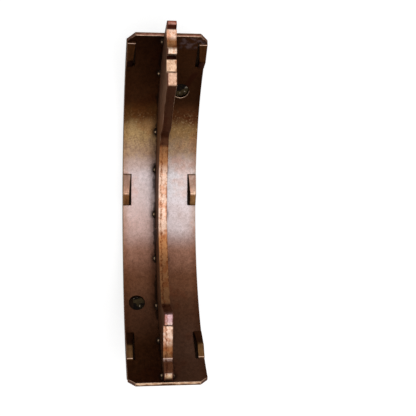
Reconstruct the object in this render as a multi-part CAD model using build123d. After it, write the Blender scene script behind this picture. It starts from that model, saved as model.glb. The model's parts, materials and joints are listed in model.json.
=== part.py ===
from build123d import *
import os
from math import asin, atan2, cos, degrees, radians, sin

# A bonded brake shoe for a 203 mm drum: a curved steel table, a flat web welded along its middle,
# and a friction lining bonded to its outside. All sizes are millimetres.
# The pieces are drawn about the drum axis (the Y axis), with the shoe below it: X runs along the
# shoe, Y across its width. Angles are counted from straight down, towards the piston end (+X).

# driving dimensions: drum, lining and table
DRUM_RADIUS = 101.6
LINING_THICKNESS = 5.0
LINING_HALF_ANGLE = 58.5
LINING_END_BEVEL = 1.0
TABLE_THICKNESS = 2.0
TABLE_HALF_ANGLE = 64.4
SHOE_WIDTH = 40.0
TABLE_CORNER_WIDTH = 3.8  # cut off each corner, across the shoe
PISTON_CORNER_LENGTH = 5.1  # and along it
ANCHOR_CORNER_LENGTH = 3.6
TABLE_HOLE_DIAMETER = 8.5
PISTON_SIDE_HOLE = (41.0, -9.3)  # angle, Y
ANCHOR_SIDE_HOLE = (-32.1, 13.2)  # angle, Y

# nibs: three strips on each edge of the table, slit free and arched towards the drum axis
NIB_CENTRES = (-48.6, 6.2, 55.9)  # angles
NIB_LENGTH = 17.5
NIB_WIDTH = 3.3
NIB_SLIT = 1.2  # beside the steep flank and the crest
NIB_SLIT_TIP = 0.2  # where the slit closes, at the piston side of the nib
NIB_STEP = 0.9
NIB_RISE = 3.4
NIB_CREST_SAG = 0.25
NIB_CREST_START = 0.34  # shares of the nib's length, from its anchor side
NIB_CREST_END = 0.44

# web plate, and the flared pads that are coined on its ends
WEB_THICKNESS = 4.6
WEB_HEIGHT = 21.6  # from the table to the belly
WALL_FILLET = 3.0
TIP_FILLET = 0.8
COIN_FLARE = 0.15
COIN_DEPTH = 2.2
WEB_OVERRUN = 1.0  # angle by which the web's root passes the table's piston end
WINDOW_ANGLE = -9.3
WINDOW_WIDTH = 7.2
WINDOW_HEIGHT = 8.5

# piston end of the web: lengths run inwards from the tip, heights stand above the table's end
PISTON_OVERHANG = 4.7
PISTON_TIP_HEIGHT = 15.9
PISTON_LIP_LENGTH = 2.2
PISTON_LIP_RISE = 1.3
PISTON_SEAT_WALL = 2.0
PISTON_SEAT_LENGTH = 3.9
PISTON_SEAT_HEIGHT = 15.3
PISTON_SEAT_RAMP = 5.6
PISTON_TOOTH_LENGTH = 2.6
PISTON_TOOTH_HEIGHT = 17.8
PISTON_NOTCH_WIDTH = 2.1
PISTON_NOTCH_DEPTH = 4.0
PISTON_LOW_PAD_LENGTH = 6.4
PISTON_LOW_PAD_HEIGHT = 15.3
PISTON_HIGH_PAD_LENGTH = 6.7
PISTON_HIGH_PAD_HEIGHT = 17.7
NECK_HEIGHT = 30.4  # from the table, where the web is deepest
NECK_ANGLE = 41.0
NECK_RAMP_ANGLE = 11.5  # over which the belly rises to the neck

# anchor end of the web: lengths run inwards from the tip, heights stand above the table's end
ANCHOR_INSET = 1.75
ANCHOR_TIP_HEIGHT = -0.3
ANCHOR_TIP_LENGTH = 4.3
ANCHOR_TIP_RISE = 2.0
ANCHOR_RAMP_LENGTH = 4.25
ANCHOR_PAD_LENGTH = 18.05
ANCHOR_PAD_HEIGHT = -2.9
ANCHOR_PAD_RISE = 1.3
ANCHOR_HIGH_PAD_LENGTH = 5.75
ANCHOR_HIGH_PAD_HEIGHT = 0.6
ANCHOR_HIGH_PAD_RISE = 1.0
ANCHOR_WALL_RUN = 2.6
GROOVE_RADIUS = 0.6

# projection welds between web and table
WELD_ANGLES = (-61.5, -46.5, -33.5, -17.0, -2.0, 13.0, 26.0, 48.0, 62.0)
WELD_LENGTH = 4.8
WELD_REACH = 1.6
WELD_END_BEVEL = 0.9

# densities, used only to find the angle at which the shoe balances on its lining
STEEL_DENSITY = 7.85
LINING_DENSITY = 2.1

table_outer = DRUM_RADIUS - LINING_THICKNESS
table_inner = table_outer - TABLE_THICKNESS
half_width = SHOE_WIDTH / 2
nib_reach = NIB_WIDTH + NIB_SLIT  # from the table's side edge to the far side of the slit
MARGIN = 1.0  # how far a cutting solid passes its workpiece


def at(radius, angle):
    """The point of the XZ section at a radius and an angle from straight down."""
    return Vector(radius * sin(radians(angle)), 0, -radius * cos(radians(angle)))


def across(points_or_edges, width, y=0):
    """The closed XZ outline, extruded across the shoe to a width centred on y."""
    face = make_face(Wire(points_or_edges))
    return Pos(0, y, 0) * extrude(face, amount=width / 2, dir=(0, 1, 0), both=True)


def arc(radius, start, end):
    return ThreePointArc(at(radius, start), at(radius, (start + end) / 2), at(radius, end))


def sector(inner, outer, start, end, width, y=0):
    """A stretch of ring about the drum axis."""
    outline = [
        arc(inner, start, end),
        Line(at(inner, end), at(outer, end)),
        arc(outer, end, start),
        Line(at(outer, start), at(inner, start)),
    ]
    return across(outline, width, y)


def radial_plane(radius, angle, y=0):
    """A plane that touches the ring: local x along the shoe, local z towards the drum axis."""
    point = at(radius, angle)
    return Plane(
        origin=(point.X, y, point.Z),
        x_dir=(cos(radians(angle)), 0, sin(radians(angle))),
        z_dir=(-sin(radians(angle)), 0, cos(radians(angle))),
    )


def corner_cut(end, side):
    """The wedge that takes one corner off the table."""
    length = PISTON_CORNER_LENGTH if end > 0 else ANCHOR_CORNER_LENGTH
    slope = TABLE_CORNER_WIDTH / length
    plane = radial_plane(table_outer, end * TABLE_HALF_ANGLE, side * half_width)
    wedge = Polyline(
        (end * MARGIN, side * MARGIN),
        (-end * (length + MARGIN / slope), side * MARGIN),
        (end * MARGIN, -side * (TABLE_CORNER_WIDTH + MARGIN * slope)),
        close=True,
    )
    depth = TABLE_THICKNESS + 2 * MARGIN
    return extrude(plane * Pos(0, 0, -MARGIN) * make_face(wedge), amount=depth, dir=plane.z_dir)


def nib_strip(centre, side):
    """One edge strip: a step up at each end, a steep and a gentle flank and a rounded crest."""
    span = degrees(NIB_LENGTH / table_inner)
    start = centre - span / 2
    crest_start = start + span * NIB_CREST_START
    crest_end = start + span * NIB_CREST_END
    end = start + span

    def skin(radius):
        low = radius - NIB_STEP
        high = radius - NIB_RISE
        shoulder = high + NIB_CREST_SAG
        return [
            Line(at(low, start), at(shoulder, crest_start)),
            ThreePointArc(
                at(shoulder, crest_start),
                at(high, (crest_start + crest_end) / 2),
                at(shoulder, crest_end),
            ),
            Line(at(shoulder, crest_end), at(low, end)),
        ]

    outline = skin(table_inner) + skin(table_outer)
    outline.append(Line(at(table_inner - NIB_STEP, start), at(table_outer - NIB_STEP, start)))
    outline.append(Line(at(table_inner - NIB_STEP, end), at(table_outer - NIB_STEP, end)))
    strip = across(outline, nib_reach, side * (half_width - nib_reach / 2))
    return strip - nib_slit(centre, side)


def nib_slit(centre, side):
    """The wedge that frees a nib's inner flank: full width up to the crest, closing behind it."""
    plane = radial_plane(table_outer, centre, side * half_width)
    half = NIB_LENGTH / 2
    crest = NIB_LENGTH * NIB_CREST_END - half
    flank = -side * NIB_WIDTH
    tip = -side * (nib_reach - NIB_SLIT_TIP)
    far = -side * (nib_reach + MARGIN)
    wedge = Polyline(
        (-half - MARGIN, flank),
        (crest, flank),
        (half, tip),
        (half + MARGIN, tip),
        (half + MARGIN, far),
        (-half - MARGIN, far),
        close=True,
    )
    depth = TABLE_THICKNESS + NIB_RISE + 2 * MARGIN
    return extrude(plane * Pos(0, 0, -MARGIN) * make_face(wedge), amount=depth, dir=plane.z_dir)


def table_hole(angle, y):
    plane = radial_plane(table_outer, angle, y)
    depth = TABLE_THICKNESS + 2 * MARGIN
    disc = plane * Pos(0, 0, -MARGIN) * Circle(TABLE_HOLE_DIAMETER / 2)
    return extrude(disc, amount=depth, dir=plane.z_dir)


def make_table():
    table = sector(table_inner, table_outer, -TABLE_HALF_ANGLE, TABLE_HALF_ANGLE, SHOE_WIDTH)
    for end in (-1, 1):
        for side in (-1, 1):
            table -= corner_cut(end, side)
    for angle, y in (PISTON_SIDE_HOLE, ANCHOR_SIDE_HOLE):
        table -= table_hole(angle, y)
    span = degrees(NIB_LENGTH / table_inner)
    for centre in NIB_CENTRES:
        for side in (-1, 1):
            y = side * (half_width - nib_reach / 2 + MARGIN / 2)
            table -= sector(
                table_inner - MARGIN,
                table_outer + MARGIN,
                centre - span / 2,
                centre + span / 2,
                nib_reach + MARGIN,
                y,
            )
            table += nib_strip(centre, side)
    return table.clean()


def piston_end_points():
    """The top of the piston end, from its tip inwards to the neck, as (X, Z) pairs."""
    end = at(table_inner, TABLE_HALF_ANGLE)
    tip = end.X + PISTON_OVERHANG
    lip = tip - PISTON_LIP_LENGTH
    seat_outer = lip - PISTON_SEAT_WALL
    seat_inner = seat_outer - PISTON_SEAT_LENGTH
    tooth_outer = seat_inner - PISTON_SEAT_RAMP
    tooth_inner = tooth_outer - PISTON_TOOTH_LENGTH
    notch_inner = tooth_inner - PISTON_NOTCH_WIDTH
    step = notch_inner - PISTON_LOW_PAD_LENGTH
    notch_height = PISTON_TOOTH_HEIGHT - PISTON_NOTCH_DEPTH
    return {
        "tip": (tip, end.Z + PISTON_TIP_HEIGHT),
        "lip": (lip, end.Z + PISTON_TIP_HEIGHT + PISTON_LIP_RISE),
        "seat_outer": (seat_outer, end.Z + PISTON_SEAT_HEIGHT),
        "seat_inner": (seat_inner, end.Z + PISTON_SEAT_HEIGHT),
        "tooth_outer": (tooth_outer, end.Z + PISTON_TOOTH_HEIGHT),
        "tooth_inner": (tooth_inner, end.Z + PISTON_TOOTH_HEIGHT),
        "notch_outer": (tooth_inner, end.Z + notch_height),
        "notch_inner": (notch_inner, end.Z + notch_height),
        "low_outer": (notch_inner, end.Z + PISTON_LOW_PAD_HEIGHT),
        "low_inner": (step, end.Z + PISTON_LOW_PAD_HEIGHT),
        "high_outer": (step, end.Z + PISTON_HIGH_PAD_HEIGHT),
        "high_inner": (step - PISTON_HIGH_PAD_LENGTH, end.Z + PISTON_HIGH_PAD_HEIGHT),
    }


def anchor_end_points():
    """The top of the anchor end, from the wall at the belly outwards to the tip, as (X, Z) pairs."""
    end = at(table_inner, -TABLE_HALF_ANGLE)
    tip = end.X + ANCHOR_INSET
    tip_inner = tip + ANCHOR_TIP_LENGTH
    pad_outer = tip_inner + ANCHOR_RAMP_LENGTH
    step = pad_outer + ANCHOR_PAD_LENGTH
    wall_height = ANCHOR_HIGH_PAD_HEIGHT + ANCHOR_HIGH_PAD_RISE
    return {
        "wall_top": (step + ANCHOR_HIGH_PAD_LENGTH, end.Z + wall_height),
        "high_outer": (step, end.Z + ANCHOR_HIGH_PAD_HEIGHT),
        "pad_inner": (step, end.Z + ANCHOR_PAD_HEIGHT + ANCHOR_PAD_RISE),
        "pad_outer": (pad_outer, end.Z + ANCHOR_PAD_HEIGHT),
        "tip_inner": (tip_inner, end.Z + ANCHOR_TIP_HEIGHT + ANCHOR_TIP_RISE),
        "tip": (tip, end.Z + ANCHOR_TIP_HEIGHT),
    }


def section(pair):
    return Vector(pair[0], 0, pair[1])


def straight(pairs):
    return [Line(section(a), section(b)) for a, b in zip(pairs, pairs[1:])]


piston = piston_end_points()
anchor = anchor_end_points()
belly_radius = table_inner - WEB_HEIGHT
neck_radius = table_inner - NECK_HEIGHT
wall_foot_angle = degrees(asin((anchor["wall_top"][0] + ANCHOR_WALL_RUN) / belly_radius))
wall_foot = at(belly_radius, wall_foot_angle)


def neck_ramp():
    """The smooth rise from the belly to the neck, level with both where it meets them."""
    start_angle = NECK_ANGLE - NECK_RAMP_ANGLE
    start = at(belly_radius, start_angle)
    end = at(neck_radius, NECK_ANGLE)
    reach = (end - start).length / 3
    leaving = Vector(cos(radians(start_angle)), 0, sin(radians(start_angle))) * reach
    arriving = Vector(cos(radians(NECK_ANGLE)), 0, sin(radians(NECK_ANGLE))) * reach
    return Bezier(start, start + leaving, end - arriving, end)


def web_outline():
    """The plate's edge, all the way round."""
    root_end = TABLE_HALF_ANGLE + WEB_OVERRUN
    tip_angle = degrees(atan2(anchor["tip"][0], -anchor["tip"][1]))
    neck_start = at(neck_radius, NECK_ANGLE)
    neck_end = section(piston["high_inner"])
    neck_middle = (neck_start + neck_end) * 0.5
    neck_middle = neck_middle * ((neck_radius + neck_end.length) / 2 / neck_middle.length)
    outline = [
        arc(table_inner, tip_angle, root_end),
        Line(at(table_inner, root_end), section(piston["tip"])),
    ]
    outline += straight(list(piston.values()))
    outline += [
        ThreePointArc(neck_end, neck_middle, neck_start),
        neck_ramp(),
        arc(belly_radius, NECK_ANGLE - NECK_RAMP_ANGLE, wall_foot_angle),
        Line(wall_foot, section(anchor["wall_top"])),
    ]
    outline += straight(list(anchor.values()))
    outline.append(Line(section(anchor["tip"]), at(table_inner, tip_angle)))
    return outline


def coined_band(face, start, end):
    """The flare that coining spreads along the top edge, between two of its points."""
    length = abs(end[0] - start[0])
    band = Box(length, WEB_THICKNESS + 2 * COIN_FLARE, 2 * COIN_DEPTH)
    wide = extrude(face, amount=WEB_THICKNESS / 2 + COIN_FLARE, dir=(0, 1, 0), both=True)
    return wide & (Pos((start[0] + end[0]) / 2, 0, (start[1] + end[1]) / 2) * band)


def window_cut():
    """The round-topped opening at the foot of the web."""
    radius = WINDOW_WIDTH / 2
    plane = Plane(
        origin=at(table_inner, WINDOW_ANGLE),
        x_dir=(cos(radians(WINDOW_ANGLE)), 0, sin(radians(WINDOW_ANGLE))),
        z_dir=(0, -1, 0),
    )
    straight_height = WINDOW_HEIGHT - radius + MARGIN
    shape = Pos(0, straight_height / 2 - MARGIN) * Rectangle(WINDOW_WIDTH, straight_height)
    shape += Pos(0, WINDOW_HEIGHT - radius) * Circle(radius)
    return extrude(plane * shape, amount=WEB_THICKNESS, both=True)


def round_corner(solid, corner, radius):
    """Round the edge that crosses the plate at one corner of its outline."""
    edges = solid.edges().filter_by(Axis.Y).sort_by(lambda edge: (edge.center() - corner).length)
    return fillet(edges[0], radius)


def groove(x, z):
    """A small round relief across the foot of a step."""
    return Pos(x, 0, z) * Rot(90, 0, 0) * Cylinder(GROOVE_RADIUS, WEB_THICKNESS * 2)


def make_web():
    face = make_face(Wire(web_outline()))
    web = extrude(face, amount=WEB_THICKNESS / 2, dir=(0, 1, 0), both=True)
    web += coined_band(face, piston["low_inner"], piston["low_outer"])
    web += coined_band(face, piston["seat_inner"], piston["seat_outer"])
    web += coined_band(face, anchor["pad_inner"], anchor["pad_outer"])
    web -= groove(*piston["low_inner"])
    web -= groove(*anchor["pad_inner"])
    web -= groove(*anchor["pad_outer"])
    web -= window_cut()
    web = round_corner(web, wall_foot, WALL_FILLET)
    for corner in (piston["tip"], piston["lip"], anchor["wall_top"], anchor["tip_inner"]):
        web = round_corner(web, section(corner), TIP_FILLET)
    return web.clean()


def make_lining():
    lining = sector(table_outer, DRUM_RADIUS, -LINING_HALF_ANGLE, LINING_HALF_ANGLE, SHOE_WIDTH)
    ends = lining.edges().filter_by(Axis.Y).sort_by(lambda edge: edge.center().length)
    return chamfer(ends[-2:], LINING_END_BEVEL)


def make_welds():
    """Bevelled quarter-round beads squeezed out of the joint, on both sides of the web."""
    bead = Rot(0, 90, 0) * Cylinder(WELD_REACH, WELD_LENGTH)
    bead = chamfer(bead.edges().filter_by(GeomType.CIRCLE), WELD_END_BEVEL)
    beads = []
    for angle in WELD_ANGLES:
        for side in (-1, 1):
            plane = radial_plane(table_inner, angle, side * WEB_THICKNESS / 2)
            slab_y = side * (WEB_THICKNESS / 2 + WELD_REACH)
            corner = Pos(0, slab_y, 0) * Rot(90, 0, 0) * Cylinder(table_inner, 2 * WELD_REACH)
            beads.append((plane.location * bead) & corner)
    return Compound(children=[solid for bead in beads for solid in bead.solids()])


table = make_table()
web = make_web()
lining = make_lining()
welds = make_welds()
pieces = {
    "shoe_table": table,
    "shoe_web": web,
    "friction_lining": lining,
    "projection_welds": welds,
}


def balance_angle():
    """The angle of the centre of mass from straight down."""
    total = Vector(0, 0, 0)
    for name, piece in pieces.items():
        density = LINING_DENSITY if name == "friction_lining" else STEEL_DENSITY
        for solid in piece.solids():
            total += solid.center(CenterOf.MASS) * (solid.volume * density)
    return degrees(atan2(total.X, -total.Z))


# The shoe lies on its lining, turned about the drum axis to where it balances, and the origin is
# put at the middle of its underside.
tilt = balance_angle()
turned = {name: Rot(0, tilt, 0) * piece for name, piece in pieces.items()}
box = Compound(children=[solid for piece in turned.values() for solid in piece.solids()]).bounding_box()
to_origin = Pos(-(box.min.X + box.max.X) / 2, -(box.min.Y + box.max.Y) / 2, -box.min.Z)

os.makedirs("parts", exist_ok=True)
for name, piece in turned.items():
    export_step(to_origin * piece, f"parts/{name}.step")
    print(name, len(piece.solids()), "solids", round(piece.volume, 1), "mm3")
print("balance angle", round(tilt, 3), "drum axis at X", round(to_origin.position.X, 3))
print("box", [round(v, 2) for v in (box.size.X, box.size.Y, box.size.Z)])
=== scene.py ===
"""Dresses a drum brake shoe: rolled table with edge nibs, sheared web, weld nuggets and lining."""

import json
from math import atan2, cos, degrees, exp, radians, sin

import bmesh
import bpy
from bpy.props import FloatProperty, FloatVectorProperty, PointerProperty
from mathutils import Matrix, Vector
from mathutils.noise import fractal


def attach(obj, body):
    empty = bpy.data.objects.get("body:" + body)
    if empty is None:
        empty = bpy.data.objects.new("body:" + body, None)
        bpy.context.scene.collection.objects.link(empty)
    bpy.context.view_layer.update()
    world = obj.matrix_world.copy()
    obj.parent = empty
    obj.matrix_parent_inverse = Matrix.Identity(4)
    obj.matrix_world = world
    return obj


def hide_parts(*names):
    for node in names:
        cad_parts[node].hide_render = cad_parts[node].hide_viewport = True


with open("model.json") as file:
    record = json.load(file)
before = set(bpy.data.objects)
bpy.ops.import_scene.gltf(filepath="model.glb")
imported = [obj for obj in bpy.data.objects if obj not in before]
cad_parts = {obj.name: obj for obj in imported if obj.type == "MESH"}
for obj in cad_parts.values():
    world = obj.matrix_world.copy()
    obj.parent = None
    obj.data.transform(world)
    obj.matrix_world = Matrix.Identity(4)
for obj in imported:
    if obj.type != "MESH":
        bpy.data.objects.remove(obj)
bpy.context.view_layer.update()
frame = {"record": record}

bl_info = {
    "name": "Drum Brake Shoe",
    "version": (1, 0, 0),
    "blender": (4, 5, 0),
    "location": "3D View > Sidebar > Brake Shoe",
    "description": "Softens a brake shoe's edges and gives steel and lining their finish",
    "category": "Object",
}

# --- where things are on the shoe

MM = 0.001
lining_face = next(m for m in frame["record"]["mounts"] if m["name"] == "lining_face")
DRUM_RADIUS = lining_face["dims"]["r_mm"] * MM
AXIS_X = lining_face["pos_m"][0]
AXIS_Z = lining_face["pos_m"][2] + DRUM_RADIUS
TABLE_INNER = DRUM_RADIUS - 7.0 * MM  # lining and table lie outside it
WEB_HALF = 2.3 * MM
LEAN = 3.505  # degrees the shoe leans as it rests
HALF_SWEEP = 70.0  # degrees; a little more than the shoe reaches on either side of its middle
HALF_LENGTH = 95.0  # mm; a little more than the shoe reaches along its chord on either side
NECK = (34.0, 58.4)  # mm along the chord, the coated hollow beside the piston end's pads
NIBS = (-48.6, 6.2, 55.9)  # degrees, the middles of the edge nibs
NIB_HALF = 5.3  # degrees
NIB_CREST = -1.2  # degrees from a nib's middle, towards the anchor end
WELDS = (-61.5, -46.5, -33.5, -17.0, -2.0, 13.0, 26.0, 48.0, 62.0)  # degrees
WELD_GLOW = 2.6  # degrees that the scorch of a weld reaches
HOLE_REACH = 5.5 * MM  # a little more than a hole's radius
SIDE_CORNER, SIDE_WALL = 19.4 * MM, 19.8 * MM  # beyond these lie the table's sides
END_CORNER, END_WALL = 62.5, 61.9  # degrees, beyond these lie the table's ends

# how the pieces are softened
MERGED = 1e-6  # metres between points that are one
FLAT = radians(0.2)  # faces that turn less than this are one
SHARP = radians(28)  # corners that turn more than this are rounded
CREASE = radians(50)  # shading breaks at corners that turn more than this

# a weld nugget, in shares of its own size
OPEN_WAY = Vector((0, 1, 1)).normalized()  # from the corner it fills to its open side
DIMPLE_WIDTH, DIMPLE_DEPTH = 0.09, 0.38
LUMP_SCALE, LUMP_HEIGHT = 1.7, 0.22

# how fine the patterns are, in repeats per metre
FINE, MOTTLE, CLOUDS, STAINS = 1500.0, 520.0, 70.0, 260.0
SPARKS, DRIFTS, SCUFFS = 1000.0, 260.0, 330.0
RAGGED, LUMPY, RUBBED = 420.0, 75.0, 1300.0
SCRATCHES, PITS, SHEAR_LINES, TEAR_BENDS = 1100.0, 1250.0, 900.0, 500.0
CROP_BENDS, FLECKS, CLUMPS = 160.0, 1400.0, 760.0
GLUE, SMEARS, CRUMBS = 1000.0, 300.0, 640.0

CAMERA_PLACE = (0.03283, 0.04192, 0.49837)
CAMERA_TURN = (-4.447, -7.958, -89.452)  # degrees
CAMERA_LENS = 77.44  # mm on a sensor of the next width
CAMERA_SENSOR = 36.0

FLOOR_NEAR_FAR = (0.25, 1.2)  # metres from the shoe over which the floor's glow grows
FLOOR_GLOW = (0.66, 0.92)  # its strength near and far

# each softbox: its name, the setting of its power, its size, its place and where it aims
SOFTBOXES = (
    ("overhead softbox", "overhead_power", (1.1, 0.6), (-0.28, -0.03, 0.95), (0, 0, 0)),
    ("near softbox", "near_power", (0.4, 0.4), (0.05, -0.02, 0.95), (0, 0, 0)),
    ("side softbox", "side_power", (0.5, 0.5), (0.85, -0.65, 0.55), (0, 0, 0.03)),
)


def along(angle):
    """An angle from the middle of the shoe, in degrees, as a share of the sweep from 0 to 1."""
    return (angle + HALF_SWEEP) / (2 * HALF_SWEEP)


def chord(length):
    """A length along the shoe's chord from its middle, in mm, as a share from 0 to 1."""
    return (length + HALF_LENGTH) / (2 * HALF_LENGTH)


def shoe_point(radius, angle, across):
    """A point from a radius and a place across the shoe, in metres, and an angle in degrees."""
    turned = radians(angle - LEAN)
    return Vector((AXIS_X + radius * sin(turned), across, AXIS_Z - radius * cos(turned)))


PISTON_ANGLE, PISTON_ACROSS = 41.0, -9.3  # degrees and mm, the middle of the piston side's hole
PISTON_HOLE = shoe_point(TABLE_INNER, PISTON_ANGLE, PISTON_ACROSS * MM)
ANCHOR_HOLE = shoe_point(TABLE_INNER, -32.1, 13.2 * MM)


def unlean(vector):
    """A direction or a place from the drum axis, turned back to the shoe's upright position."""
    lean = radians(LEAN)
    x, y, z = vector
    return Vector((x * cos(lean) - z * sin(lean), y, x * sin(lean) + z * cos(lean)))


# --- shader building blocks


def feed(tree, socket, value):
    """Gives an input socket a number, a colour or what another socket puts out."""
    if isinstance(value, bpy.types.NodeSocket):
        tree.links.new(value, socket)
    elif isinstance(value, (int, float)):
        socket.default_value = value
    else:
        socket.default_value = (*value, 1.0)


def maths(tree, operation, first, second=None):
    """One Math node; each value is a number or an output socket."""
    made = tree.nodes.new("ShaderNodeMath")
    made.operation = operation
    feed(tree, made.inputs[0], first)
    if second is not None:
        feed(tree, made.inputs[1], second)
    return made.outputs[0]


def plus(tree, first, second):
    """The sum of two values."""
    return maths(tree, "ADD", first, second)


def minus(tree, first, second):
    """The first value less the second."""
    return maths(tree, "SUBTRACT", first, second)


def times(tree, first, second):
    """The product of two values; of two masks, where both hold."""
    return maths(tree, "MULTIPLY", first, second)


def over(tree, first, second):
    """The first value divided by the second."""
    return maths(tree, "DIVIDE", first, second)


def most(tree, first, second):
    """The greater of two values; of two masks, where either holds."""
    return maths(tree, "MAXIMUM", first, second)


def blend(tree, factor, first, second, mode="MIX"):
    """Two colours mixed by a factor; each is a colour or an output socket."""
    made = tree.nodes.new("ShaderNodeMix")
    made.data_type = "RGBA"
    made.blend_type = mode
    for index, value in ((0, factor), (6, first), (7, second)):
        feed(tree, made.inputs[index], value)
    return made.outputs[2]


def span(tree, value, low, high, out_low=0.0, out_high=1.0):
    """A value carried smoothly from one range to another and held at its ends."""
    made = tree.nodes.new("ShaderNodeMapRange")
    made.clamp = True
    made.interpolation_type = "SMOOTHSTEP"
    tree.links.new(value, made.inputs["Value"])
    names = ("From Min", "From Max", "To Min", "To Max")
    for name, number in zip(names, (low, high, out_low, out_high)):
        made.inputs[name].default_value = number
    return made.outputs["Result"]


def within(tree, value, low, high, soft):
    """A mask that is 1 between two values and fades out beyond them."""
    rise = span(tree, value, low - soft, low)
    return times(tree, rise, span(tree, value, high, high + soft, 1.0, 0.0))


def ramp(tree, value, stops):
    """A colour ramp with (position, colour) stops."""
    made = tree.nodes.new("ShaderNodeValToRGB")
    made.color_ramp.interpolation = "EASE"
    elements = made.color_ramp.elements
    while len(elements) < len(stops):
        elements.new(1.0)
    for element, (position, colour) in zip(elements, stops):
        element.position = position
        element.color = (*colour, 1.0)
    tree.links.new(value, made.inputs["Fac"])
    return made.outputs["Color"]


def ramp_along(tree, value, stops):
    """A colour ramp over a share of the sweep, with (degrees, colour) stops."""
    return ramp(tree, value, [(along(angle), colour) for angle, colour in stops])


def ramp_chord(tree, where, stops):
    """A colour ramp along the chord, with (mm, colour) stops."""
    return ramp(tree, where["Chord"], [(chord(length), colour) for length, colour in stops])


def own_spot(tree):
    """The place of a point in its piece's own space, in metres."""
    return tree.nodes.new("ShaderNodeTexCoord").outputs["Object"]


def noise(tree, spot, scale, detail, roughness, stretch=None):
    """Smooth noise over a place; stretch squashes the pattern along each axis."""
    if stretch:
        squeeze = tree.nodes.new("ShaderNodeMapping")
        squeeze.vector_type = "POINT"
        squeeze.inputs["Scale"].default_value = stretch
        tree.links.new(spot, squeeze.inputs["Vector"])
        spot = squeeze.outputs["Vector"]
    made = tree.nodes.new("ShaderNodeTexNoise")
    made.inputs["Scale"].default_value = scale
    made.inputs["Detail"].default_value = detail
    made.inputs["Roughness"].default_value = roughness
    tree.links.new(spot, made.inputs["Vector"])
    return made.outputs["Fac"]


# --- effects that finishes share


def new_group(name, inputs, outputs):
    """An empty shader node group with number sockets; inputs have their defaults."""
    tree = bpy.data.node_groups.new(name, "ShaderNodeTree")
    for label, default in inputs.items():
        socket = tree.interface.new_socket(
            name=label, in_out="INPUT", socket_type="NodeSocketFloat"
        )
        socket.default_value = default
    for label in outputs:
        tree.interface.new_socket(name=label, in_out="OUTPUT", socket_type="NodeSocketFloat")
    return tree, tree.nodes.new("NodeGroupInput"), tree.nodes.new("NodeGroupOutput")


def put_out(tree, out, **values):
    """Links values to the group's outputs of the same names."""
    for label, value in values.items():
        tree.links.new(value, out.inputs[label])


def place(tree, name, build, **values):
    """The outputs of a node group, built the first time it is asked for, with its own values."""
    made = tree.nodes.new("ShaderNodeGroup")
    made.node_tree = bpy.data.node_groups.get(name) or build(name)
    for label, value in values.items():
        made.inputs[label].default_value = value
    return made.outputs


def shoe_place(tree):
    """Where a point lies on the shoe."""
    return place(tree, "Shoe place", build_shoe_place)


def coat_grain(tree, size):
    """The grain of a coat."""
    return place(tree, "Coat grain", build_grain, Size=size)


def stains(tree, size, spread):
    """A mask of stains."""
    return place(tree, "Stain", build_stain, Size=size, Spread=spread)["Mask"]


def weld_heat(tree):
    """A mask of the scorch beside the welds."""
    return place(tree, "Weld heat", build_weld_heat)["Mask"]


def build_shoe_place(name):
    """Where a point lies: shares of the sweep and the chord, mm above the table and across."""
    tree, _, out = new_group(name, {}, ("Along", "Height", "Across", "Chord"))
    parts = tree.nodes.new("ShaderNodeSeparateXYZ")
    tree.links.new(own_spot(tree), parts.inputs[0])
    x = minus(tree, parts.outputs["X"], AXIS_X)
    down = minus(tree, AXIS_Z, parts.outputs["Z"])
    turn = maths(tree, "DEGREES", maths(tree, "ARCTAN2", x, down))
    radius = maths(tree, "SQRT", plus(tree, times(tree, x, x), times(tree, down, down)))
    lean = radians(LEAN)
    upright_x = plus(tree, times(tree, x, cos(lean)), times(tree, down, sin(lean)))
    put_out(
        tree,
        out,
        Along=over(tree, plus(tree, turn, LEAN + HALF_SWEEP), 2 * HALF_SWEEP),
        Height=over(tree, minus(tree, TABLE_INNER, radius), MM),
        Across=over(tree, parts.outputs["Y"], MM),
        Chord=over(tree, plus(tree, upright_x, HALF_LENGTH * MM), 2 * HALF_LENGTH * MM),
    )
    return tree


def sized_spot(tree, size):
    """The place of a point, drawn in so that a pattern over it comes out at a size."""
    scaled = tree.nodes.new("ShaderNodeVectorMath")
    scaled.operation = "SCALE"
    tree.links.new(own_spot(tree), scaled.inputs[0])
    tree.links.new(over(tree, 1.0, size), scaled.inputs["Scale"])
    return scaled.outputs[0]


def build_grain(name):
    """Fine mottled grain of a thin coat over rolled steel."""
    tree, given, out = new_group(name, {"Size": 1.0}, ("Tone", "Cloud", "Relief"))
    spot = sized_spot(tree, given.outputs["Size"])
    fine = noise(tree, spot, FINE, 2.0, 0.6)
    mottle = noise(tree, spot, MOTTLE, 3.0, 0.6)
    cloud = noise(tree, spot, CLOUDS, 3.0, 0.5)
    tone = plus(tree, times(tree, fine, 0.45), times(tree, mottle, 0.55))
    put_out(
        tree,
        out,
        Tone=span(tree, tone, 0.33, 0.67),
        Cloud=span(tree, cloud, 0.35, 0.65),
        Relief=tone,
    )
    return tree


def build_weld_heat(name):
    """Scorch left beside the web by each weld, fading out over the table and up the web."""
    tree, _, out = new_group(name, {}, ("Mask",))
    where = shoe_place(tree)
    black, white = (0, 0, 0), (1, 1, 1)
    stops = []
    for angle in WELDS:
        stops += [(angle - WELD_GLOW, black), (angle, white), (angle + WELD_GLOW, black)]
    marks = ramp_along(tree, where["Along"], stops)
    away = most(tree, beside_web(tree, where), times(tree, where["Height"], 0.7))
    put_out(tree, out, Mask=times(tree, marks, span(tree, away, 0.8, 3.6, 1.0, 0.0)))
    return tree


def build_stain(name):
    """Soft-edged patches, as of rust or scorched oil."""
    tree, given, out = new_group(name, {"Size": 1.0, "Spread": 0.5}, ("Mask",))
    patch = noise(tree, sized_spot(tree, given.outputs["Size"]), STAINS, 4.0, 0.62)
    level = plus(tree, minus(tree, patch, 0.72), times(tree, given.outputs["Spread"], 0.44))
    put_out(tree, out, Mask=span(tree, level, 0.0, 0.12))
    return tree


# --- what finishes are made of


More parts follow.
